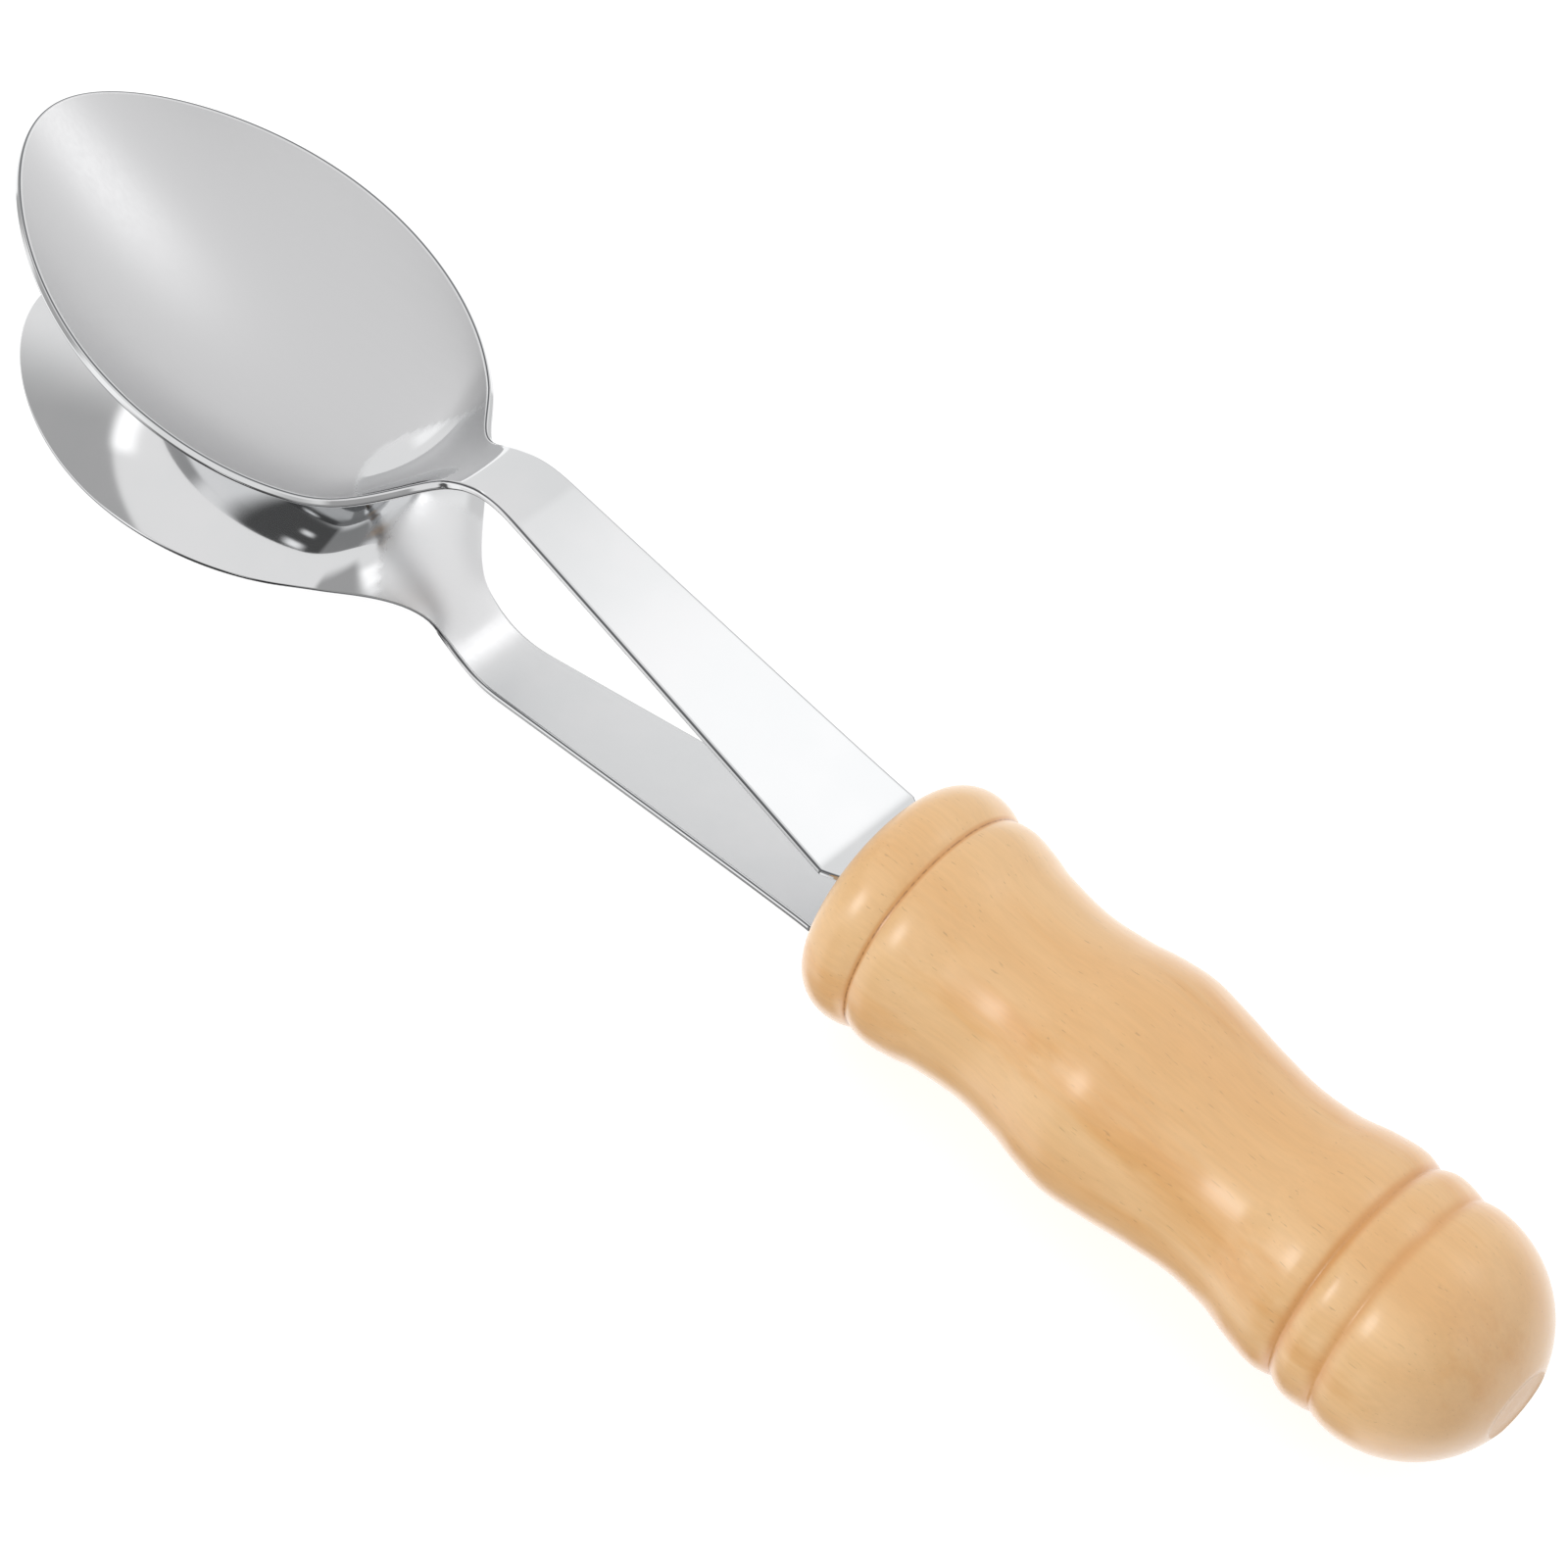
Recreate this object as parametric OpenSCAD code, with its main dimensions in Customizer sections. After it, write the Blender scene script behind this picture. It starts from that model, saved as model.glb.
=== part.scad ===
// Spoon castanets: two steel spoons back to back in one turned wooden handle.
// Each module is built about the handle's axis, with the mouth face at x = 0,
// the spoons at -x and the butt at +x. place() then moves it into the part's frame.

/* [Handle] */
// Length from the mouth face to the flat at the butt
handle_l = 91.5; // [88:0.5:100]
// Radius of the collar bead round the mouth
collar_r = 15.5; // [15:0.1:17]
// Distance from the mouth face to the groove behind the collar bead
collar_l = 8; // [7:0.5:9]
// Radius of the swell behind the collar
swell_r = 14.95; // [14:0.05:16]
// Radius of the waist for the first finger
front_waist_r = 13.1; // [12:0.1:14]
// Radius of the belly in the middle of the grip
belly_r = 14.9; // [14:0.1:16]
// Radius of the waist behind the belly
rear_waist_r = 12.9; // [12:0.1:14]
// Radius of the flare in front of the narrow bead
flare_r = 14.75; // [14:0.05:16]
// Radius of the narrow bead
bead_r = 15; // [14.5:0.1:16]
// Radius of the ball at the butt
ball_r = 14.9; // [14:0.1:16]
// Distance from the mouth face to the ball's widest point
ball_x = 77.8; // [77:0.1:79]
// Radius of the flat that the turning centre leaves at the butt
butt_flat_r = 4.5; // [3:0.5:6]
// Depth of the turned grooves
groove_d = 0.45; // [0.2:0.05:0.8]

/* [Mortise and wedge] */
// Depth of the mortise that holds the tangs
mortise_l = 44; // [30:1:55]
// Width of each tang
tang_w = 12.4; // [10:0.2:13]
// Height of the tangs' outer faces above the handle's axis
tang_z = 5.9; // [5.5:0.1:6.2]
// Glue line between wood, wedge and tang
glue_t = 0.08; // [0.05:0.01:0.15]

/* [Spoon strip] */
// Thickness of the stamped steel
sheet_t = 1.2; // [1:0.05:1.5]
// Length of each spoon in front of the mouth face
spoon_l = 137.5; // [135:0.5:145]
// Width across the shoulders, just in front of the mouth
shoulder_w = 15.4; // [14:0.2:16]
// Width of the neck, the strip's narrowest part
neck_w = 8.5; // [8:0.1:10]
// Distance from the mouth to the bend where the strap starts to rise
bend_x = 2.5; // [2:0.25:3]
// Rise of the strap away from the axis
strap_slope = 0.203; // [0.18:0.001:0.22]
// Length of the crank that brings the neck back down to the bowl
crank_l = 26.5; // [24:0.5:28]
// Distance from the mouth to the start of the crank
crank_x = 54; // [52:0.5:56]

/* [Bowl] */
// Distance from the mouth to the bowl's widest point
bowl_x = 101.5; // [100:0.5:103]
// Width of the bowl
bowl_w = 43.4; // [40:0.2:46]
// Height of the bowl's rim above the axis at its widest point
rim_z = 11.6; // [11.4:0.1:13]
// Rise of the rim towards the tip
rim_slope = 0.134; // [0.12:0.001:0.15]
// Greatest depth of the bowl below its rim
bowl_d = 7.9; // [6.5:0.1:8]

/* [Flexing root] */
// Distance from the mouth to the middle of the strap's bending
flex_x = 27; // [25:0.5:29]
// Gap that parts the fixed root of the strap from its moving length
flex_gap = 0.3; // [0.2:0.05:0.5]

/* [Hidden] */

WOOD = [0.89, 0.72, 0.53];
WEDGE_WOOD = [0.80, 0.62, 0.42];
STEEL = [0.80, 0.81, 0.82];

// The origin is under the middle of the part's box, on the surface that it lies on.
lowest_z = tang_z + strap_slope * (crank_x + 1.5 - bend_x) + 0.15;
frame_x = (spoon_l - handle_l) / 2;
module place() translate([frame_x, 0, lowest_z]) children();

// ---- Curves ----

function mix(a, b, t) = a + (b - a) * t;
function ramp(lo, hi, v) = min(1, max(0, (v - lo) / (hi - lo)));
function smoother(t) = t * t * t * (t * (6 * t - 15) + 10);

// Smooth curve through key points [x, y], with a level tangent at each crest, waist and end
function key_slope(k, i) =
    i == 0 || i == len(k) - 1 ? 0 :
    let (a = (k[i].y - k[i - 1].y) / (k[i].x - k[i - 1].x),
         b = (k[i + 1].y - k[i].y) / (k[i + 1].x - k[i].x))
    a * b <= 0 ? 0 : 2 * a * b / (a + b);
function hermite(p, q, mp, mq, x) =
    let (h = q.x - p.x, t = (x - p.x) / h)
    p.y * (1 + 2 * t) * (1 - t) ^ 2 + mp * h * t * (1 - t) ^ 2
    + q.y * t ^ 2 * (3 - 2 * t) + mq * h * t ^ 2 * (t - 1);
function through(k, x, i = 0) =
    x <= k[i + 1].x || i == len(k) - 2
    ? hermite(k[i], k[i + 1], key_slope(k, i), key_slope(k, i + 1), x)
    : through(k, x, i + 1);

// ---- Turned handle ----

flare_crest = [ball_x - 10.9, flare_r];
bead_groove = [ball_x - 8.3, bead_r - 2 * groove_d];
bead_crest = [ball_x - 5.7, bead_r];
rear_groove = [ball_x - 2.6, ball_r - groove_d];
ball_crest = [ball_x, ball_r];
grip_keys = [
    [collar_l, swell_r - groove_d],
    [collar_l + 0.9, swell_r - 0.15],
    [collar_l + 2.4, swell_r],
    [collar_l + 5.4, mix(swell_r, front_waist_r, 0.24)],
    [collar_l + 8.7, mix(swell_r, front_waist_r, 0.68)],
    [collar_l + 15.2, front_waist_r],
    [ball_x - 49.4, mix(front_waist_r, belly_r, 0.28)],
    [ball_x - 44.4, mix(front_waist_r, belly_r, 0.81)],
    [ball_x - 40.8, belly_r],
    [ball_x - 36, mix(belly_r, rear_waist_r, 0.26)],
    [ball_x - 29.4, mix(belly_r, rear_waist_r, 0.75)],
    [ball_x - 23.8, rear_waist_r],
    [ball_x - 19.3, mix(rear_waist_r, flare_r, 0.15)],
    [ball_x - 14.3, mix(rear_waist_r, flare_r, 0.76)],
    flare_crest
];
function sampled(k, n) =
    [for (i = [1:n]) let (x = mix(k[0].x, k[len(k) - 1].x, i / n)) [x, through(k, x)]];

// Points from a to b on the parabola whose crest is the higher of the two. Two of these meet in a
// sharp groove.
function crown(a, b, n) =
    let (crest = a.y > b.y ? a : b, low = a.y > b.y ? b : a)
    [for (i = [1:n])
        let (x = mix(a.x, b.x, i / n), t = (x - crest.x) / (low.x - crest.x))
        [x, mix(crest.y, low.y, t * t)]];

// The collar bead is a quarter ellipse at the mouth and another down to its groove.
collar_crest = 4.6;
function collar_arc() = concat(
    [for (a = [180:-10:90])
        [collar_crest * (1 + cos(a)), collar_r - 4 * (1 - sin(a))]],
    [for (a = [80:-10:40])
        [mix(collar_crest, collar_l, cos(a) / cos(40)),
         mix(collar_r, swell_r - groove_d, (1 - sin(a)) / (1 - sin(40)))]]);

// The ball is an ellipse cut off by the flat at the butt.
flat_angle = asin(butt_flat_r / ball_r);
ball_l = (handle_l - ball_x) / cos(flat_angle);
function ball_arc() =
    [for (i = [1:12]) let (a = mix(90, flat_angle, i / 12)) [ball_x + ball_l * cos(a), ball_r * sin(a)]];

function outline() = concat(
    [[0, 0]],
    collar_arc(),
    sampled(grip_keys, 40),
    crown(flare_crest, bead_groove, 6),
    crown(bead_groove, bead_crest, 6),
    crown(bead_crest, rear_groove, 6),
    crown(rear_groove, ball_crest, 6),
    ball_arc(),
    [[handle_l, 0]]);

module turned_blank()
    rotate([0, 90, 0]) rotate([0, 0, 90])
        rotate_extrude($fn = 96)
            polygon([for (p = outline()) [p.y, p.x]]);

mortise_h = 2 * (tang_z + glue_t);
mortise_w = tang_w + 2 * glue_t;
module handle() color(WOOD) place() difference() {
    turned_blank();
    translate([-1, -mortise_w / 2, -mortise_h / 2]) cube([mortise_l + 1, mortise_w, mortise_h]);
}

// The wedge fills the mortise between the two tangs.
wedge_h = 2 * (tang_z - sheet_t - glue_t);
module wedge() color(WEDGE_WOOD) place()
    translate([0.5, -tang_w / 2, -wedge_h / 2]) cube([mortise_l - 1, tang_w, wedge_h]);

// ---- Stamped spoon ----
// s is the distance in front of the mouth, and u runs from -1 to 1 across the strip.

shoulder_x = 3.1;
strap_half = [shoulder_w / 2, neck_w / 2];
neck_start = 62;
flare_start = 66;
flare_end = 76;
heel_l = 31.6;
tip_l = spoon_l - bowl_x;

// The outline is half an ellipse towards the neck, and an oval that narrows faster towards the tip.
// Each gives the square of the half-width, from 1 at the widest point to 0 at the end.
tip_taper = 0.31;
function heel_oval(v) = 1 - v * v;
function tip_oval(v) = (1 - v * v) * (1 - tip_taper * v * v);

function tang_half(s) = mix(tang_w / 2, strap_half[0], ramp(0.2, shoulder_x, s));
function strap_width(s) = mix(strap_half[0], strap_half[1], ramp(shoulder_x, neck_start, s) ^ 0.9);
function heel_half(s) = bowl_w / 2 * sqrt(heel_oval((bowl_x - s) / heel_l));
function tip_half(s) = bowl_w / 2 * sqrt(tip_oval((s - bowl_x) / tip_l));
function flare_half(s) =
    hermite([flare_start, strap_half[1]], [flare_end, heel_half(flare_end)], 0,
        heel_half(flare_end) - heel_half(flare_end - 1), s);
function half_width(s) =
    s < shoulder_x ? tang_half(s) :
    s < flare_start ? strap_width(s) :
    s < flare_end ? flare_half(s) :
    s < bowl_x ? heel_half(s) : tip_half(s);

// Height of the strip's edge: flat tang, rising strap, crank down, then the bowl's rim
function softened(v) = (v + sqrt(v * v + 2)) / 2;
function strap_z(s) = tang_z + strap_slope * softened(s - bend_x) - 0.05;
function rim_line(s) = rim_z + rim_slope * (s - bowl_x);
function edge_z(s) = mix(strap_z(s), rim_line(s), smoother(ramp(crank_x, crank_x + crank_l, s)));

// Share of the full depth: 1 in the middle of the bowl and 0 on its rim and in front of hollow_start
hollow_start = 64;
rim_steepness = 0.15;
function hollow_along(s) =
    s < hollow_start ? 0 :
    s < bowl_x ? heel_oval((bowl_x - s) / (bowl_x - hollow_start)) ^ 1.3 :
    tip_oval((s - bowl_x) / tip_l);
function hollow(s, u) =
    let (f = hollow_along(s) * (1 - u * u))
    f * (1 + rim_steepness * (1 - f));
function face_point(s, u) =
    [-s, half_width(s) * u, edge_z(s) - bowl_d * hollow(s, u)];

// The back face lies one sheet thickness along the normal under the hollow face.
function unit(v) = v / norm(v);
function back_point(s, u) =
    let (ds = 0.05, du = 0.02,
         along = face_point(s + ds, u) - face_point(s - ds, u),
         across = face_point(s, u + du) - face_point(s, u - du))
    face_point(s, u) - sheet_t * unit(cross(across, along));

across_n = 14;
us = [for (i = [0:across_n]) sin(90 * (2 * i / across_n - 1))];
function ring(s) = concat(
    [for (u = us) face_point(s, u)],
    [for (i = [across_n:-1:0]) back_point(s, us[i])]);

// Closed strip through the rings at the stations in list ss. Its ends are rows of quads from the
// hollow face to the back face, because a fan across a straight end would have faces with no area.
module strip(ss) {
    m = 2 * (across_n + 1);
    last = (len(ss) - 1) * m;
    polyhedron(
        points = [for (s = ss) each ring(s)],
        faces = concat(
            [for (j = [0:across_n - 1]) [j, j + 1, m - 2 - j, m - 1 - j]],
            [for (i = [0:len(ss) - 2], j = [0:m - 1])
                let (k = (j + 1) % m) [i * m + j, (i + 1) * m + j, (i + 1) * m + k, i * m + k]],
            [for (j = [0:across_n - 1]) [last + m - 1 - j, last + m - 2 - j, last + j + 1, last + j]]),
        convexity = 6);
}

tang_stations = [-mortise_l + 1, -20, 0, 0.2, 1.2, bend_x, shoulder_x, 4, 5, 6, 8, 12, 16, 20, 24,
    flex_x - flex_gap / 2];
bowl_stations = concat(
    [flex_x + flex_gap / 2, 30, 34, 38, 42, 46, 50, 53],
    [for (s = [55:1.5:80]) s],
    [for (i = [0:7]) mix(81.5, bowl_x, i / 7)],
    [for (i = [1:11]) bowl_x + (tip_l - 0.08) * sin(90 * i / 11)]);

module spoon_tang() strip(tang_stations);
module spoon_bowl() strip(bowl_stations);

// The lower spoon is the same stamping turned over.
module turned_over() rotate([180, 0, 0]) children();

module upper_spoon_tang() color(STEEL) place() spoon_tang();
module lower_spoon_tang() color(STEEL) place() turned_over() spoon_tang();
module upper_spoon_bowl() color(STEEL) place() spoon_bowl();
module lower_spoon_bowl() color(STEEL) place() turned_over() spoon_bowl();

handle();
wedge();
upper_spoon_tang();
lower_spoon_tang();
upper_spoon_bowl();
lower_spoon_bowl();
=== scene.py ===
"""Looks of the spoon castanets: two steel spoons back to back in one turned wooden handle.

Lengths are in millimetres on the handle's own axis, as in the CAD source: the mouth face is at
x = 0, the spoons run towards -x and the butt is at +x. to_frame() turns such points into metres in
the part's frame.
"""

from math import asin, cos, pi, radians, sin

import bmesh
import bpy
import numpy as np
from mathutils import Matrix, Quaternion, Vector


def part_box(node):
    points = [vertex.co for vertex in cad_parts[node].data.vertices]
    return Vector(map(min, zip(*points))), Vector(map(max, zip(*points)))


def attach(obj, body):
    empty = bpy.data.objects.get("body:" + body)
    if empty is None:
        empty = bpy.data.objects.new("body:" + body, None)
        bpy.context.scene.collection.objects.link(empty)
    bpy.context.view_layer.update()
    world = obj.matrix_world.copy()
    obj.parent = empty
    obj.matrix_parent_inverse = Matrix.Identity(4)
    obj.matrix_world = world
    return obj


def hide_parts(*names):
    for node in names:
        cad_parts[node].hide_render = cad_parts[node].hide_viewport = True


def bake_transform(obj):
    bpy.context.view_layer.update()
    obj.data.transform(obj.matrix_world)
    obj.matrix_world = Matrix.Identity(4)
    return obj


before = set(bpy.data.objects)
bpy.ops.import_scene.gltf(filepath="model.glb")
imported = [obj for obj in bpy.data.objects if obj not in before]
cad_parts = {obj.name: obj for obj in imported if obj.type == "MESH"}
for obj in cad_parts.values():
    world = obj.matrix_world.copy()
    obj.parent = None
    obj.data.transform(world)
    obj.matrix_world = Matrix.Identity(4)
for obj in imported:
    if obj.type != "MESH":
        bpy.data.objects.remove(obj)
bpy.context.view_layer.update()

# ---- Driving dimensions ----

MM = 0.001
handle_low, handle_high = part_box("handle")
mouth = Vector((handle_low.x, 0, (handle_low.z + handle_high.z) / 2))

# Handle: radii of its beads, crests and waists, from the mouth to the butt
handle_l = (handle_high.x - handle_low.x) / MM
collar_r = 15.5
collar_l = 8
swell_r = 14.95
front_waist_r = 13.1
belly_r = 14.9
rear_waist_r = 12.9
flare_r = 14.75
bead_r = 15
ball_r = 14.9
ball_x = handle_l - 13.7
butt_flat_r = 4.5
groove_d = 0.45

# Mortise and tangs
mortise_l = 44
tang_w = 12.4
tang_z = 5.9
glue_t = 0.08

# Spoon strip, with lengths measured from the mouth
spoon_l = 137.5
sheet_t = 1.2
edge_r = 0.42
shoulder_x = 3.1
shoulder_w = 15.4
neck_start = 62
neck_w = 8.5
bend_x = 2.5
strap_slope = 0.203
crank_x = 54
crank_l = 26.5

# Bowl
flare_start = 66
flare_end = 76
bowl_x = 101.5
bowl_w = 43.4
heel_l = 31.6
tip_l = spoon_l - bowl_x
tip_taper = 0.31
rim_z = 11.6
rim_slope = 0.134
hollow_start = 64
bowl_d = 7.9
rim_steepness = 0.15


def to_frame(points):
    """Points in millimetres on the handle's axis, as metres in the part's frame."""
    return np.asarray(points, float) * MM + np.array(mouth)


# ---- Curves ----

def mix(a, b, t):
    return a + (b - a) * t


def ramp(low, high, v):
    """0 at low, 1 at high, straight between them and level beyond. low may be the larger one."""
    return np.clip((v - low) / (high - low), 0, 1)


def smoother(t):
    """Eases t from 0 to 1 with both ends level and without a jump in curvature."""
    return t ** 3 * (t * (6 * t - 15) + 10)


def hermite(p, q, slope_p, slope_q, x):
    """Height at x of the cubic from point p to point q with these slopes at its ends."""
    h = q[0] - p[0]
    t = (x - p[0]) / h
    return (p[1] * (1 + 2 * t) * (1 - t) ** 2 + slope_p * h * t * (1 - t) ** 2
            + q[1] * t ** 2 * (3 - 2 * t) + slope_q * h * t ** 2 * (t - 1))


def through(keys, x):
    """Smooth curve through key points, level at each crest, waist and end."""
    steps = [(b[1] - a[1]) / (b[0] - a[0]) for a, b in zip(keys, keys[1:])]
    slopes = [0]
    for a, b in zip(steps, steps[1:]):
        slopes.append(0 if a * b <= 0 else 2 * a * b / (a + b))
    slopes.append(0)
    y = np.zeros_like(x)
    for i in range(len(keys) - 1):
        here = (x >= keys[i][0]) if i else np.full(x.shape, True)
        y[here] = hermite(keys[i], keys[i + 1], slopes[i], slopes[i + 1], x[here])
    return y


# ---- Mesh helpers ----

def make_piece(name, points, faces, normals=None):
    """A smooth-shaded mesh object from points in millimetres on the handle's axis."""
    mesh = bpy.data.meshes.new(name)
    mesh.from_pydata(to_frame(points).tolist(), [], faces)
    mesh.validate()
    mesh.polygons.foreach_set("use_smooth", [True] * len(mesh.polygons))
    if normals is not None:
        mesh.normals_split_custom_set_from_vertices(np.asarray(normals).tolist())
    piece = bpy.data.objects.new(name, mesh)
    bpy.context.collection.objects.link(piece)
    return piece


def store(piece, name, values):
    """Keeps one number per vertex for the material to read."""
    attribute = piece.data.attributes.new(name, "FLOAT", "POINT")
    attribute.data.foreach_set("value", np.asarray(values, np.float32))


# ---- Spoons: shape ----
# s is the distance in front of the mouth. Heights are above the handle's axis.

def heel_oval(v):
    return 1 - v * v


def tip_oval(v):
    return (1 - v * v) * (1 - tip_taper * v * v)


def heel_half(s):
    return bowl_w / 2 * np.sqrt(np.maximum(heel_oval((bowl_x - s) / heel_l), 0))


def half_width(s):
    """Half the strip's width, from the tang to the bowl's widest point."""
    tang = mix(tang_w, shoulder_w, ramp(0.2, shoulder_x, s)) / 2
    strap = mix(shoulder_w, neck_w, ramp(shoulder_x, neck_start, s) ** 0.9) / 2
    steepness = heel_half(flare_end) - heel_half(flare_end - 1)
    flare = hermite((flare_start, neck_w / 2), (flare_end, heel_half(flare_end)), 0, steepness, s)
    choices = [s < shoulder_x, s < flare_start, s < flare_end]
    return np.select(choices, [tang, strap, flare], heel_half(s))


def softened(v):
    """0 before the bend and v past it, with the corner rounded off."""
    return (v + np.sqrt(v ** 2 + 2)) / 2


def edge_z(s):
    """Height of the strip's edge: flat tang, rising strap, crank down, then the bowl's rim."""
    strap_z = tang_z + strap_slope * softened(s - bend_x) - 0.05
    rim = rim_z + rim_slope * (s - bowl_x)
    return mix(strap_z, rim, smoother(ramp(crank_x, crank_x + crank_l, s)))


def hollow(s, y):
    """Share of the bowl's full depth: 1 in its middle, and 0 on its rim and along the strap."""
    heel_along = np.maximum(heel_oval((bowl_x - s) / (bowl_x - hollow_start)), 0) ** 1.3
    heel_across = 1 - (y / half_width(np.minimum(s, bowl_x))) ** 2
    in_heel = np.where(s > hollow_start, heel_along, 0) * heel_across
    in_tip = tip_oval((s - bowl_x) / tip_l) - (2 * y / bowl_w) ** 2
    share = np.where(s < bowl_x, in_heel, in_tip)
    return share * (1 + rim_steepness * (1 - share))


def face_z(s, y):
    return edge_z(s) - bowl_d * hollow(s, y)


def face_normal(s, y):
    step = 0.02
    along = (face_z(s + step, y) - face_z(s - step, y)) / (2 * step)
    across = (face_z(s, y + step) - face_z(s, y - step)) / (2 * step)
    n = np.stack([along, -across, np.ones_like(along)], -1)
    return n / np.linalg.norm(n, axis=-1, keepdims=True)


def outline(t):
    """Plan point (s, y) of the +y edge. Past bowl_x, t counts degrees round the bowl's tip."""
    turn = np.radians(np.clip(t - bowl_x, 0, 90))
    s = np.minimum(t, bowl_x) + tip_l * np.sin(turn)
    y = np.where(t < bowl_x, half_width(np.minimum(t, bowl_x)),
                 bowl_w / 2 * np.cos(turn) * np.sqrt(1 - tip_taper * np.sin(turn) ** 2))
    return np.stack([s, y], -1)


def outward(t):
    """Plan direction (s, y) that points out of the sheet, square to the outline."""
    d = outline(np.minimum(t + 0.01, bowl_x + 90)) - outline(t - 0.01)
    n = np.stack([-d[:, 1], d[:, 0]], -1)
    return n / np.linalg.norm(n, axis=-1, keepdims=True)


def inset(t):
    """Plan point of the +y edge, moved in to where its rounding starts."""
    return outline(t) - edge_r * outward(t)


# ---- Spoons: mesh ----

# The rows run straight across as far as the widest point, closest together near the mouth. From
# there they bend round towards a cap that follows the tip, so that no quads pinch together at the
# end of the bowl. The cap starts cap_start degrees round the tip.
columns = 48
cap_start = 52
row_t = np.concatenate([
    np.linspace(-mortise_l + 1, -1, 8), np.linspace(0, 12, 37)[:-1],
    np.linspace(12, crank_x, 36)[:-1], np.linspace(crank_x, bowl_x, 72)])
tip_t = bowl_x + np.linspace(0, cap_start, 31)[1:]
mirror = np.array([1, -1])

# The hollow face is satin from satin_start to the tip, and the back is brushed from the tang to
# brushed_end. These are places on the middle line, and both limits bow towards the handle at the
# sides. Between polished at 0 and satin at 1, brushed_back is how matt the brushed back is.
satin_start = 80
satin_blur = 0.8
brushed_end = 76.8
brushed_blur = 1
finish_bow = 0.058
brushed_back = 0.85

# The rounded edge has one loop at each of these angles, measured from the middle of the edge
# towards the hollow face, and the same again towards the back. Two of the loops, counted from 0
# next to the hollow face, get a painted fine dark line: a painted reflection of dark surroundings
# in the rounded edge.
edge_arc = np.radians([67.5, 45, 22.5, 0])
painted_edge_loops = (1, 6)


def plan_grid():
    """Plan points of the inset sheet as rows and columns, and the outward directions of its edge."""
    across = np.linspace(-1, 1, columns + 1)[None, :, None]
    right = inset(row_t)[:, None, :]
    straight = right * np.concatenate([np.ones_like(across), across], -1)
    cap_t = bowl_x + 90 - np.abs(across[0, :, 0]) * (90 - cap_start)
    side_of = np.where(across[0, :, 0] < 0, -1, 1)[:, None]
    to_side = np.concatenate([np.ones_like(side_of), side_of], -1)
    cap = inset(cap_t) * to_side

    # The tip is a patch ruled both ways between its four sides.
    base = straight[-1]
    side = inset(tip_t)[:, None, :]
    u = (across + 1) / 2
    v = np.linspace(0, 1, len(tip_t) + 1)[1:][:, None, None]
    ruled_along = mix(base[None], cap[None], v)
    ruled_across = mix(side * mirror, side, u)
    corners = mix(mix(base[0], base[-1], u), mix(cap[0], cap[-1], u), v)
    plan = np.concatenate([straight, ruled_along + ruled_across - corners])
    side_out = outward(np.concatenate([row_t, tip_t]))
    cap_out = outward(cap_t) * to_side
    return plan, side_out, cap_out


def edge_cells(rows, cols):
    """Rows and columns of the edge's points: up the +y side, round the cap, down the -y side."""
    cells = [(i, cols - 1) for i in range(rows)]
    cells += [(rows - 1, j) for j in range(cols - 2, -1, -1)]
    cells += [(i, 0) for i in range(rows - 2, -1, -1)]
    return np.array(cells).T


def rounded_edge(face, back, normal, plan_out):
    """Loops of points and of normals round the edge, from the hollow face to the back."""
    out = np.stack([-plan_out[:, 0], plan_out[:, 1], np.zeros(len(plan_out))], -1)
    out[:, 2] = -(out * normal).sum(-1) / normal[:, 2]
    out /= np.linalg.norm(out, axis=-1, keepdims=True)
    loops, normals = [], []
    for a in edge_arc:
        loops.append(face + edge_r * (out * cos(a) - normal * (1 - sin(a))))
        normals.append(out * cos(a) + normal * sin(a))
    for a in edge_arc[::-1]:
        loops.append(back + edge_r * (out * cos(a) + normal * (1 - sin(a))))
        normals.append(out * cos(a) - normal * sin(a))
    return loops, normals


def sheet_faces(rows, cols, edge, loop_count):
    """Faces of the closed sheet: hollow face and back, then the rounded edge, then the tang's end.

    The points are the face's grid, the back's grid and then the loops of the rounded edge.
    """
    count = rows * cols
    length = len(edge)
    faces = []
    for i in range(rows - 1):
        for j in range(cols - 1):
            a = i * cols + j
            faces.append((a, a + 1, a + cols + 1, a + cols))
            faces.append((count + a, count + a + cols, count + a + cols + 1, count + a + 1))
    loops = [[2 * count + k * length + m for m in range(length)] for k in range(loop_count)]
    loops = [edge] + loops + [[count + a for a in edge]]
    for upper, lower in zip(loops, loops[1:]):
        for m in range(length - 1):
            faces.append((upper[m], lower[m], lower[m + 1], upper[m + 1]))
    for j in range(cols - 1):
        faces.append((j, count + j, count + j + 1, j + 1))
    faces.append([loop[0] for loop in reversed(loops)])
    faces.append([loop[-1] for loop in loops])
    return faces


def store_finish(piece, s, y, edge_length):
    """Tells the steel material where the sheet is satin or brushed, and where to paint dark reflection
    lines on its edge.
    """
    count = s.size
    from_limit = s + finish_bow * y ** 2
    satin = np.zeros(len(piece.data.vertices))
    painted_edge_line = np.zeros(len(piece.data.vertices))
    satin[:count] = smoother(ramp(-satin_blur, satin_blur, from_limit - satin_start)).ravel()
    brushed = smoother(ramp(brushed_blur, -brushed_blur, from_limit - brushed_end)).ravel()
    satin[count:2 * count] = brushed_back * brushed
    # Marks the edge loops where a dark line is painted as a reflection of dark surroundings.
    for k in painted_edge_loops:
        first = 2 * count + k * edge_length
        painted_edge_line[first:first + edge_length] = 1
    store(piece, "satin", satin)
    store(piece, "painted_edge_line", painted_edge_line)


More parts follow.
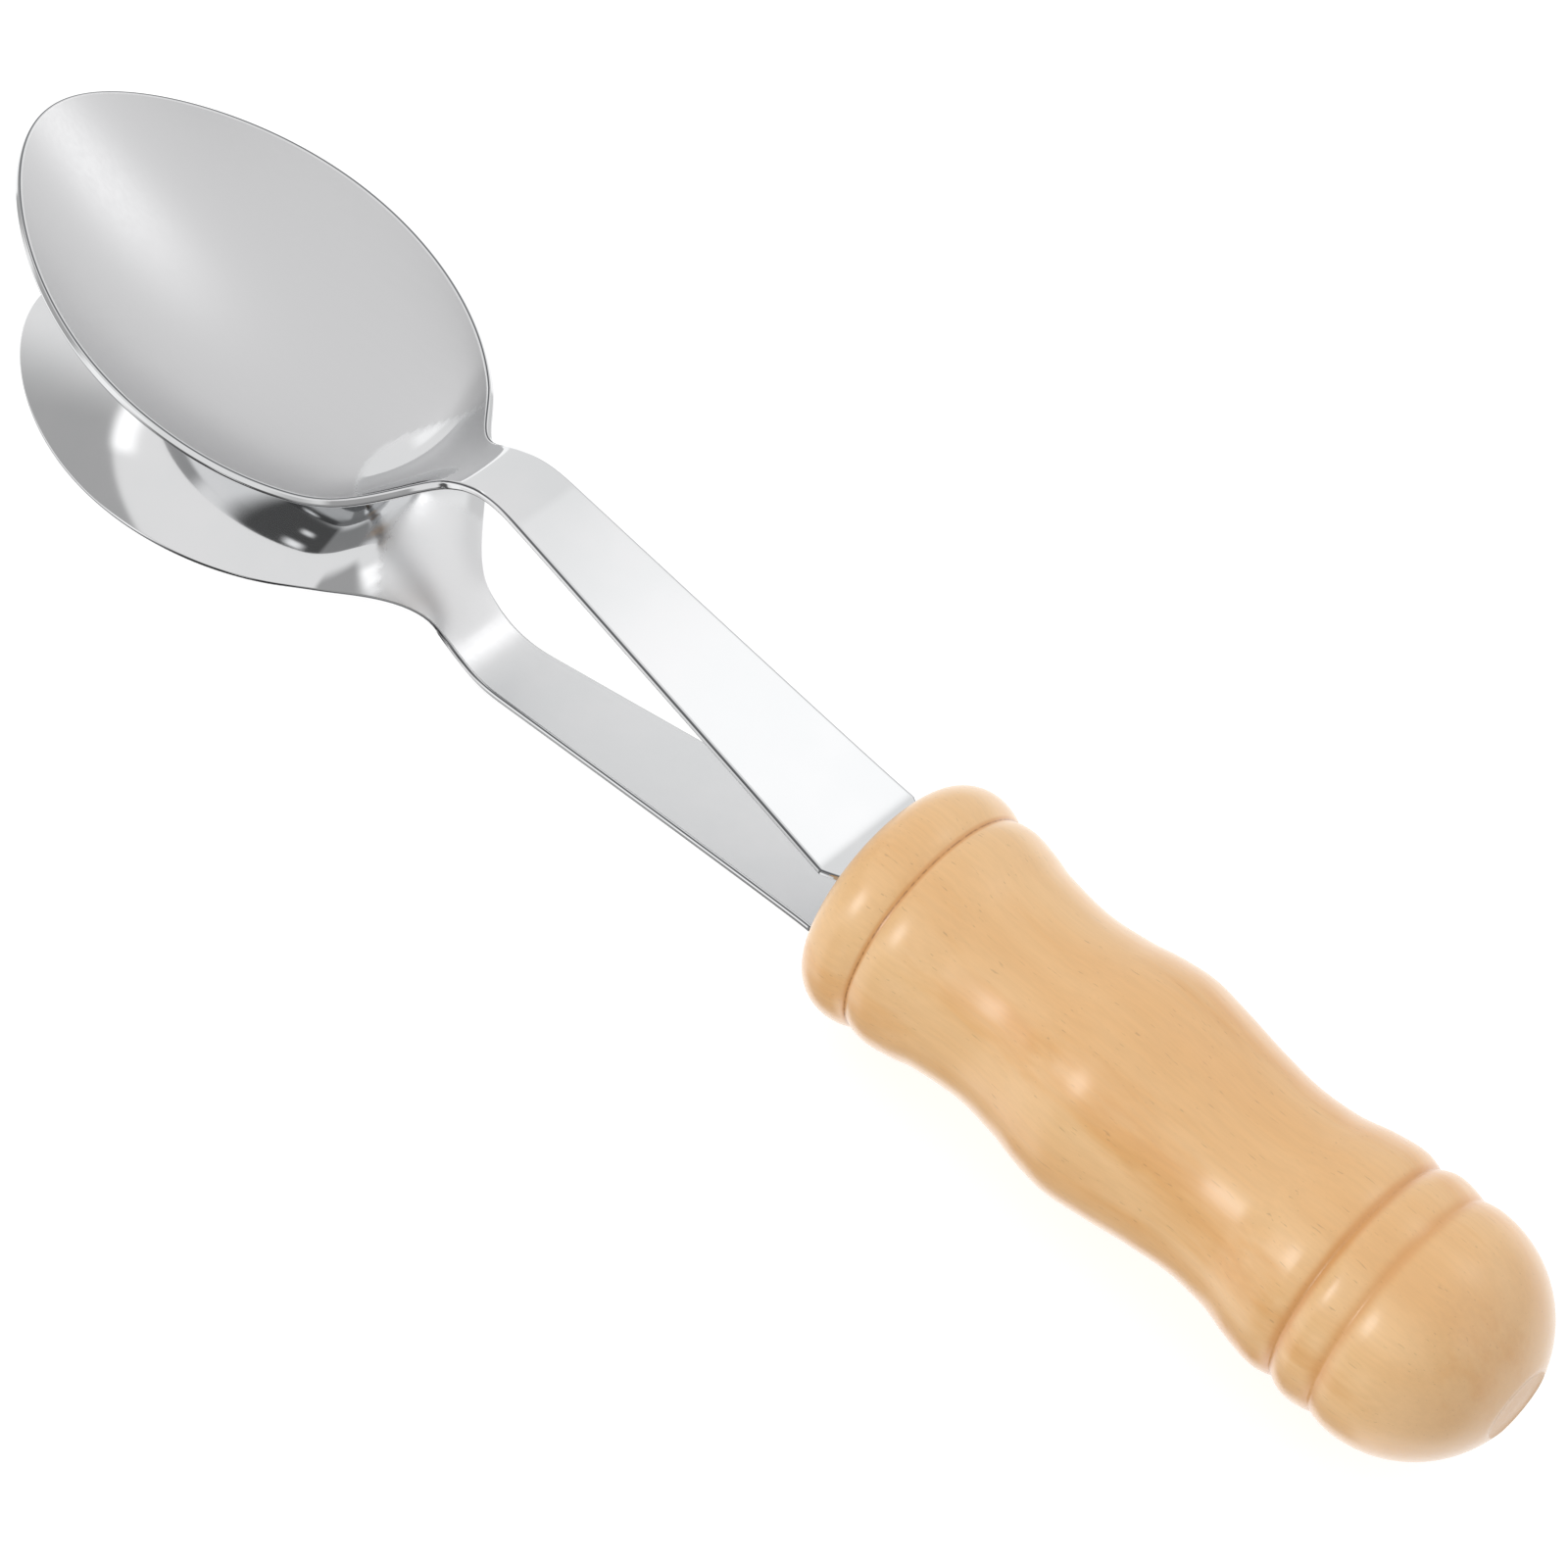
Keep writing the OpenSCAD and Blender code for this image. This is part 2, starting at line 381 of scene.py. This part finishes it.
def build_spoon(name, turned_over):
    """One stamping as a closed sheet: hollow face, back face and a rounded edge all round."""
    plan, side_out, cap_out = plan_grid()
    s, y = plan[..., 0], plan[..., 1]
    normal = face_normal(s, y)
    face = np.stack([-s, y, face_z(s, y)], -1)
    back = face - sheet_t * normal

    # The outward directions are put in the same order as the edge's points.
    rows, cols = s.shape
    i, j = edge_cells(rows, cols)
    plan_out = np.concatenate([side_out[:-1], cap_out[::-1], side_out[-2::-1] * mirror])
    loops, loop_normals = rounded_edge(face[i, j], back[i, j], normal[i, j], plan_out)
    points = np.concatenate([face.reshape(-1, 3), back.reshape(-1, 3)] + loops)
    normals = np.concatenate([normal.reshape(-1, 3), -normal.reshape(-1, 3)] + loop_normals)
    faces = sheet_faces(rows, cols, (i * cols + j).tolist(), len(loops))

    if turned_over:
        points = points * [1, -1, -1]
        normals = normals * [1, -1, -1]
    piece = make_piece(name, points, faces, normals)
    store_finish(piece, s, y, len(i))
    return piece


# ---- Turned handle ----

flare_crest = (ball_x - 10.9, flare_r)
bead_groove = (ball_x - 8.3, bead_r - 2 * groove_d)
bead_crest = (ball_x - 5.7, bead_r)
rear_groove = (ball_x - 2.6, ball_r - groove_d)
ball_crest = (ball_x, ball_r)
grip_keys = [
    (collar_l, swell_r - groove_d),
    (collar_l + 0.9, swell_r - 0.15),
    (collar_l + 2.4, swell_r),
    (collar_l + 5.4, mix(swell_r, front_waist_r, 0.24)),
    (collar_l + 8.7, mix(swell_r, front_waist_r, 0.68)),
    (collar_l + 15.2, front_waist_r),
    (ball_x - 49.4, mix(front_waist_r, belly_r, 0.28)),
    (ball_x - 44.4, mix(front_waist_r, belly_r, 0.81)),
    (ball_x - 40.8, belly_r),
    (ball_x - 36, mix(belly_r, rear_waist_r, 0.26)),
    (ball_x - 29.4, mix(belly_r, rear_waist_r, 0.75)),
    (ball_x - 23.8, rear_waist_r),
    (ball_x - 19.3, mix(rear_waist_r, flare_r, 0.15)),
    (ball_x - 14.3, mix(rear_waist_r, flare_r, 0.76)),
    flare_crest,
]

# The collar bead is a quarter ellipse at the mouth, and another that stops collar_stop degrees
# above the axis, in its groove.
collar_crest = 4.6
collar_round = 4
collar_stop = 40
mouth_r = collar_r - collar_round

# Points round each ring, and the chamfer along the mortise's edge
segments = 192
chamfer_l = 0.25
chamfer_w = 0.2

# The flat at the butt starts flat_edge short of the handle's end. Its rings are each given as a
# share of the flat's radius and how deep the ring is sunk.
flat_edge = 0.2
flat_rings = ((0.93, 0.1), (0.8, 0.14), (0.5, 0.1), (0.2, 0.05))

# Where the wood is darker and more orange in the grooves, each as its place, its strength and its
# reach
toned_grooves = ((collar_l, 1, 0.3), (bead_groove[0], 0.75, 0.8), (rear_groove[0], 0.5, 1))


def crown(a, b):
    """Points from a to b on the parabola whose crest is the higher one. Two meet in a sharp groove."""
    crest, low = (a, b) if a[1] > b[1] else (b, a)
    x = np.linspace(a[0], b[0], 15)[1:]
    t = (x - crest[0]) / (low[0] - crest[0])
    return list(zip(x, mix(crest[1], low[1], t * t)))


def collar_points():
    points = []
    for a in np.radians(np.linspace(180, 90, 16)):
        points.append((collar_crest * (1 + cos(a)), collar_r - collar_round * (1 - sin(a))))
    stop = radians(collar_stop)
    for a in np.radians(np.linspace(90, collar_stop, 11))[1:]:
        x = mix(collar_crest, collar_l, cos(a) / cos(stop))
        points.append((x, mix(collar_r, swell_r - groove_d, (1 - sin(a)) / (1 - sin(stop)))))
    return points


def ball_points():
    """An ellipse from the ball's crest to the edge of the flat at the butt."""
    flat_angle = asin(butt_flat_r / ball_r)
    ball_l = (handle_l - ball_x) / cos(flat_angle)
    turn = np.linspace(pi / 2, flat_angle, 28)[1:]
    return [(ball_x + ball_l * cos(a), ball_r * sin(a)) for a in turn]


def profile():
    """The turned outline as points (x, radius), from the mouth's rim to the flat at the butt."""
    x = np.linspace(grip_keys[0][0], grip_keys[-1][0], 120)[1:]
    points = collar_points() + list(zip(x, through(grip_keys, x)))
    points += crown(flare_crest, bead_groove) + crown(bead_groove, bead_crest)
    points += crown(bead_crest, rear_groove) + crown(rear_groove, ball_crest)
    return points + ball_points()


def ring(x, radius):
    turn = np.arange(segments) * 2 * pi / segments
    return np.stack([np.full(segments, x), radius * np.cos(turn), radius * np.sin(turn)], -1)


def slot_ring(x, half_w, half_h):
    """The mortise's edge, with one point for each point of a round ring and four sharp corners."""
    turn = np.arange(segments) * 2 * pi / segments
    c, s = np.cos(turn), np.sin(turn)
    reach = np.minimum(half_w / np.maximum(np.abs(c), 1e-9), half_h / np.maximum(np.abs(s), 1e-9))
    points = np.stack([np.full(segments, x), reach * c, reach * s], -1)
    for sy in (-1, 1):
        for sz in (-1, 1):
            corner = np.array([x, sy * half_w, sz * half_h])
            points[np.argmin(np.linalg.norm(points - corner, axis=1))] = corner
    return points


def handle_rings():
    """Rings from the mortise's floor out over its chamfer and the mouth, and on to the butt."""
    half_w = tang_w / 2 + glue_t
    half_h = tang_z + glue_t
    rings = [slot_ring(x, half_w, half_h) for x in np.linspace(mortise_l, chamfer_l, 12)]
    inner = slot_ring(0, half_w + chamfer_w, half_h + chamfer_w)
    rim = ring(0, mouth_r)
    rings += [mix(inner, rim, t) for t in (0, 0.25, 0.5, 0.75)]
    rings += [ring(x, radius) for x, radius in profile()]
    rings += [ring(handle_l - sunk, butt_flat_r * share) for share, sunk in flat_rings]
    return rings


def ring_faces(ring_count):
    """Quads between neighbouring rings, and a face across the first ring and the last."""
    faces = []
    for i in range(ring_count - 1):
        a, b = i * segments, (i + 1) * segments
        for j in range(segments):
            k = (j + 1) % segments
            faces.append((a + j, a + k, b + k, b + j))
    last = (ring_count - 1) * segments
    faces.append(list(range(segments))[::-1])
    faces.append([last + j for j in range(segments)])
    return faces


def build_handle():
    """The turned blank with its mortise. The flat at the butt takes the second material."""
    rings = handle_rings()
    points = np.concatenate(rings)
    piece = make_piece("turned_handle", points, ring_faces(len(rings)))
    x = points[:, 0]
    outside = np.hypot(points[:, 1], points[:, 2]) > mouth_r
    groove_tone = sum(strength * np.exp(-((x - at) / reach) ** 2) for at, strength, reach in toned_grooves)
    store(piece, "groove", np.where(outside, groove_tone, 0))
    on_flat = x > handle_l - flat_edge
    store(piece, "end_grain", 0.6 * ramp(ball_x + 2, handle_l, x) + 0.15 * on_flat)
    for face in piece.data.polygons:
        face.material_index = int(on_flat[list(face.vertices)].all())
    return piece


# ---- Wedge ----

wedge_x = 0.5
wedge_l = mortise_l - 1
wedge_h = 2 * (tang_z - sheet_t - glue_t)
wedge_corner = 0.35


def build_wedge():
    """Sawn hardwood block with broken corners, pressed between the tangs."""
    middle = Matrix.Translation((wedge_x + wedge_l / 2, 0, 0))
    bm = bmesh.new()
    bmesh.ops.create_cube(bm, size=1, matrix=middle @ Matrix.Diagonal((wedge_l, tang_w, wedge_h, 1)))
    bmesh.ops.bevel(bm, geom=bm.edges[:], offset=wedge_corner, segments=3, profile=0.5, affect="EDGES")
    points = [v.co[:] for v in bm.verts]
    faces = [[v.index for v in f.verts] for f in bm.faces]
    bm.free()
    return make_piece("mortise_wedge", points, faces)


# ---- Shader nodes ----

class Graph:
    """Adds nodes to one shader tree. Their inputs may be constants or other nodes' outputs."""

    def __init__(self, tree):
        self.nodes = tree.nodes
        self.links = tree.links

    def add(self, kind, **settings):
        node = self.nodes.new(kind)
        for key, value in settings.items():
            setattr(node, key, value)
        return node

    def feed(self, socket, value):
        if isinstance(value, bpy.types.NodeSocket):
            self.links.new(value, socket)
        else:
            socket.default_value = value

    def coordinates(self, kind):
        return self.add("ShaderNodeTexCoord").outputs[kind]

    def attribute(self, name):
        return self.add("ShaderNodeAttribute", attribute_name=name).outputs["Fac"]

    def noise(self, place, per_metre, offset=(0, 0, 0), detail=3, roughness=0.55):
        """Noise with about this many features to the metre along each axis."""
        mapping = self.add("ShaderNodeMapping")
        mapping.inputs["Scale"].default_value = per_metre
        mapping.inputs["Location"].default_value = offset
        self.links.new(place, mapping.inputs["Vector"])
        node = self.add("ShaderNodeTexNoise")
        set_inputs(node, {"Scale": 1, "Detail": detail, "Roughness": roughness})
        self.links.new(mapping.outputs["Vector"], node.inputs["Vector"])
        return node.outputs["Fac"]

    def map_range(self, value, low, high, to_low=0, to_high=1):
        node = self.add("ShaderNodeMapRange", interpolation_type="SMOOTHSTEP")
        set_inputs(node, {"From Min": low, "From Max": high, "To Min": to_low, "To Max": to_high})
        self.links.new(value, node.inputs["Value"])
        return node.outputs["Result"]

    def mix(self, factor, a, b, data_type="RGBA", blend="MIX"):
        node = self.add("ShaderNodeMix", data_type=data_type, blend_type=blend)
        for socket, value in (("Factor", factor), ("A", a), ("B", b)):
            self.feed(node.inputs[socket], value)
        return node.outputs["Result"]

    def maths(self, operation, *values):
        node = self.add("ShaderNodeMath", operation=operation)
        for socket, value in zip(node.inputs, values):
            self.feed(socket, value)
        return node.outputs["Value"]


def set_inputs(node, values):
    """Sets constants straight on the node's own sockets."""
    for name, value in values.items():
        node.inputs[name].default_value = value


def new_material(name):
    material = bpy.data.materials.new(name)
    material.use_nodes = True
    return material, Graph(material.node_tree), material.node_tree.nodes["Principled BSDF"]


def srgb(r, g, b):
    """A colour given as it looks on screen, from 0 to 255, in linear light."""
    def linear(c):
        c /= 255
        return c / 12.92 if c <= 0.04045 else ((c + 0.055) / 1.055) ** 2.4
    return linear(r), linear(g), linear(b), 1


# ---- Materials ----

def grain(graph, place, pale, honey, ochre):
    """Fine hardwood with its fibres along X. Gives its colour, its fibres and its pores."""
    broad = graph.noise(place, (9, 70, 70))
    streaks = graph.noise(place, (20, 150, 110), (2, 0, 1), detail=4, roughness=0.6)
    clouds = graph.noise(place, (45, 90, 90), (3, 1, 2))
    fibres = graph.noise(place, (40, 2200, 2200), roughness=0.6)
    specks = graph.noise(place, (420, 4200, 4200), detail=1, roughness=0.4)

    colour = graph.mix(graph.map_range(broad, 0.35, 0.65), pale, honey)
    colour = graph.mix(graph.map_range(streaks, 0.48, 0.7, 0, 0.75), colour, ochre)
    colour = graph.mix(graph.map_range(clouds, 0.45, 0.72, 0, 0.35), colour, pale)
    shade = graph.map_range(fibres, 0.3, 0.7, 0.965, 1.02)
    pores = graph.map_range(specks, 0.7, 0.77, 1, 0.8)
    colour = graph.mix(1, colour, graph.maths("MULTIPLY", shade, pores), blend="MULTIPLY")
    return colour, fibres, pores


def with_groove_tone(graph, place, colour):
    """The wood's colour, darker on the end grain and darker and more orange in the turned grooves."""
    groove = graph.attribute("groove")
    colour = graph.mix(graph.attribute("end_grain"), colour, srgb(176, 138, 98))
    colour = graph.mix(graph.map_range(groove, 0, 0.7, 0, 0.75), colour, srgb(205, 142, 74))
    stipple = graph.map_range(graph.noise(place, (1800, 1800, 1800), detail=2), 0.4, 0.6, 0.4, 1)
    bottom = graph.maths("MULTIPLY", graph.map_range(groove, 0.65, 1, 0, 0.85), stipple)
    return graph.mix(bottom, colour, srgb(150, 98, 44))


def wood_material(name, pale, honey, ochre, gloss):
    """Hardwood under a clear coat. gloss is the coat's weight, 0 on bare wood."""
    material, graph, shader = new_material(name)
    place = graph.coordinates("Object")
    colour, fibres, pores = grain(graph, place, pale, honey, ochre)
    graph.feed(shader.inputs["Base Color"], with_groove_tone(graph, place, colour))
    graph.feed(shader.inputs["Roughness"], graph.map_range(fibres, 0.3, 0.7, 0.42, 0.52))

    bump = graph.add("ShaderNodeBump")
    set_inputs(bump, {"Strength": 0.15, "Distance": 0.0001})
    relief = graph.maths("ADD", graph.maths("MULTIPLY", fibres, 0.5), pores)
    graph.feed(bump.inputs["Height"], relief)
    graph.feed(shader.inputs["Normal"], bump.outputs["Normal"])
    graph.feed(shader.inputs["Coat Normal"], bump.outputs["Normal"])
    set_inputs(shader, {"Coat Weight": gloss, "Coat Roughness": 0.25, "Coat IOR": 1.5,
                        "Specular IOR Level": 0.3})
    return material


def steel_material():
    """Polished stainless steel, satin or brushed where the sheet says, with painted dark reflection
    lines on its edge.
    """
    material, graph, shader = new_material("polished_steel")
    place = graph.coordinates("Object")
    satin = graph.attribute("satin")
    painted_edge_line = graph.attribute("painted_edge_line")
    lines = graph.noise(place, (90, 2600, 2600), roughness=0.6)
    smudges = graph.noise(place, (60, 60, 60))

    tint = graph.mix(graph.map_range(smudges, 0.35, 0.7), srgb(215, 216, 217), srgb(219, 219, 220))
    tint = graph.mix(graph.map_range(satin, brushed_back, 1), tint, srgb(204, 204, 205))
    # Painted reflection: a near-black tint on the marked edge loops stands in for dark surroundings
    # mirrored in the rounded edge.
    tint = graph.mix(graph.map_range(painted_edge_line, 0, 0.8, 0, 0.9), tint, srgb(70, 72, 76))
    graph.feed(shader.inputs["Base Color"], tint)

    polished = graph.map_range(smudges, 0.3, 0.7, 0.05, 0.08)
    brushed = graph.map_range(lines, 0.3, 0.7, 0.34, 0.38)
    graph.feed(shader.inputs["Roughness"], graph.mix(satin, polished, brushed, data_type="FLOAT"))
    set_inputs(shader, {"Metallic": 1})
    return material


# ---- Build ----

steel = steel_material()
handle_colours = srgb(226, 184, 131), srgb(219, 170, 112), srgb(213, 155, 86)
handle_wood = wood_material("lacquered_wood", *handle_colours, 1)
flat_wood = wood_material("thinly_lacquered_wood", *handle_colours, 0.4)
wedge_wood = wood_material("sawn_wood", srgb(196, 152, 104), srgb(180, 134, 86), srgb(150, 104, 62), 0)

for side, turned_over in (("upper", False), ("lower", True)):
    spoon = build_spoon(side + "_spoon_stamping", turned_over)
    spoon.data.materials.append(steel)
    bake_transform(spoon)
    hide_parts(side + "_spoon_tang", side + "_spoon_bowl")

handle = build_handle()
handle.data.materials.append(handle_wood)
handle.data.materials.append(flat_wood)
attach(handle, "grip")
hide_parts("handle")

wedge = build_wedge()
wedge.data.materials.append(wedge_wood)
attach(wedge, "grip")
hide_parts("wedge")

# ---- Studio ----
# Directions are in degrees: the azimuth from +X towards +Y, and the elevation above the horizon.

# Brightness of the tent's white cloth above the horizon and below it
tent_cloth = 1
tent_floor = 1.3

# Parts of the tent that differ from the cloth, each as its middle, half its size, the softness of
# its edges and its brightness. Later ones lie over earlier ones.
tent_parts = {
    "window": ((42, 32), (30, 22), (8, 8), 1.1),
    "window_top": ((78, 58), (20.5, 9), (4.5, 7), 1.4),
    "window_lamp": ((64, 56), (12, 10), (6, 6), 2.2),
    "far_wall": ((70, 5), (60, 9), (10, 4), 0.82),
    "grey_cloth": ((-150, 8), (32, 24), (14, 1), 0.5),
    "seam_light": ((-176, 34.5), (16, 2.5), (3, 2), 1.6),
    "neck_glow": ((166, 32), (9, 7), (4, 3), 1.25),
    "room": ((-33, 26), (17, 30), (4, 6), 0.45),
    "side_strip": ((-6, 33), (9, 13), (3, 4), 1.5),
    "low_glow": ((-138, -24), (24, 24), (8, 3), 1.25),
    "side_glow": ((-122, 10), (12, 12), (5, 4), 1.25),
    "low_room": ((-35, -15), (32, 38), (10, 10), 0.4),
    "low_shade": ((-90, -22), (26, 34), (8, 8), 0.12),
    "low_slit": ((-125, -68), (40, 16), (8, 6), 0.15),
    "low_lamp": ((-88, -7), (4, 5), (3, 3), 1.6),
    "low_spark": ((-86, -30), (3, 3), (2, 2), 1.3),
}


def direction(azimuth, elevation):
    a, e = radians(azimuth), radians(elevation)
    return Vector((cos(a) * cos(e), sin(a) * cos(e), sin(e)))


def build_floor():
    """Backlit white sheet. Mirror-like surfaces see the tent's own lower half in its place."""
    size = 6
    mesh = bpy.data.meshes.new("floor")
    corners = [(-size, -size, 0), (size, -size, 0), (size, size, 0), (-size, size, 0)]
    mesh.from_pydata(corners, [], [(0, 1, 2, 3)])
    floor = bpy.data.objects.new("floor", mesh)
    floor.visible_glossy = False
    bpy.context.collection.objects.link(floor)
    material, _, shader = new_material("floor_sheet")
    set_inputs(shader, {"Base Color": (0.4, 0.4, 0.4, 1), "Roughness": 0.9, "Specular IOR Level": 0.1,
                        "Emission Color": (1, 1, 1, 1), "Emission Strength": 0.75})
    floor.data.materials.append(material)
    return floor


def add_softbox(name, azimuth, elevation, distance, size, radiance, lit):
    """A square light that lights only the objects in lit. radiance is how bright it looks."""
    data = bpy.data.lights.new(name, "AREA")
    data.shape = "SQUARE"
    data.size = size
    data.energy = radiance * pi * size ** 2
    light = bpy.data.objects.new(name, data)
    towards = direction(azimuth, elevation)
    light.location = towards * distance
    light.rotation_euler = towards.to_track_quat("Z", "Y").to_euler()
    light.light_linking.receiver_collection = bpy.data.collections.new(name + "_receivers")
    for piece in lit:
        light.light_linking.receiver_collection.objects.link(piece)
    bpy.context.collection.objects.link(light)


def build_tent():
    """White light tent as the world's shader."""
    world = bpy.data.worlds.new("tent")
    world.use_nodes = True
    graph = Graph(world.node_tree)
    axes = graph.add("ShaderNodeSeparateXYZ")
    graph.feed(axes.inputs["Vector"], graph.coordinates("Generated"))
    azimuth = graph.maths("ARCTAN2", axes.outputs["Y"], axes.outputs["X"])
    elevation = graph.maths("ARCSINE", axes.outputs["Z"])
    level = graph.map_range(elevation, -0.02, 0.02, tent_floor, tent_cloth)
    for middle, half, soft, brightness in tent_parts.values():
        cover = 1
        for angle, centre, reach, blur in zip((azimuth, elevation), middle, half, soft):
            away = graph.maths("SUBTRACT", angle, radians(centre))
            away = graph.maths("ABSOLUTE", graph.maths("WRAP", away, pi, -pi))
            inside = graph.map_range(away, radians(reach - blur), radians(reach + blur), 1, 0)
            cover = graph.maths("MULTIPLY", cover, inside)
        kept = graph.maths("MULTIPLY", level, graph.maths("SUBTRACT", 1, cover))
        level = graph.maths("ADD", kept, graph.maths("MULTIPLY", cover, brightness))
    background = world.node_tree.nodes["Background"]
    set_inputs(background, {"Color": (1, 1, 1, 1)})
    graph.feed(background.inputs["Strength"], level)
    bpy.context.scene.world = world


def build_camera():
    """Looks down on the object from the +X, -Y side, with a little roll."""
    azimuth, elevation, distance, roll = -54.31, 52.57, 0.5682, 9.77
    target = Vector((0.0063, 0.0017, mouth.z))
    data = bpy.data.cameras.new("camera")
    data.sensor_width = 36
    data.lens = 115.66
    data.clip_start = 0.01
    camera = bpy.data.objects.new("camera", data)
    towards = direction(azimuth, elevation)
    camera.location = target + towards * distance
    camera.rotation_mode = "QUATERNION"
    camera.rotation_quaternion = towards.to_track_quat("Z", "Y") @ Quaternion((0, 0, 1), radians(roll))
    bpy.context.collection.objects.link(camera)
    bpy.context.scene.camera = camera


floor = build_floor()
build_tent()
build_camera()

# The key light is kept off the spoons, so that they mirror only the tent.
add_softbox("key_light", azimuth=-109, elevation=32, distance=1, size=0.3, radiance=6.5,
            lit=(handle, wedge, floor))
bpy.context.scene.view_settings.view_transform = "Standard"
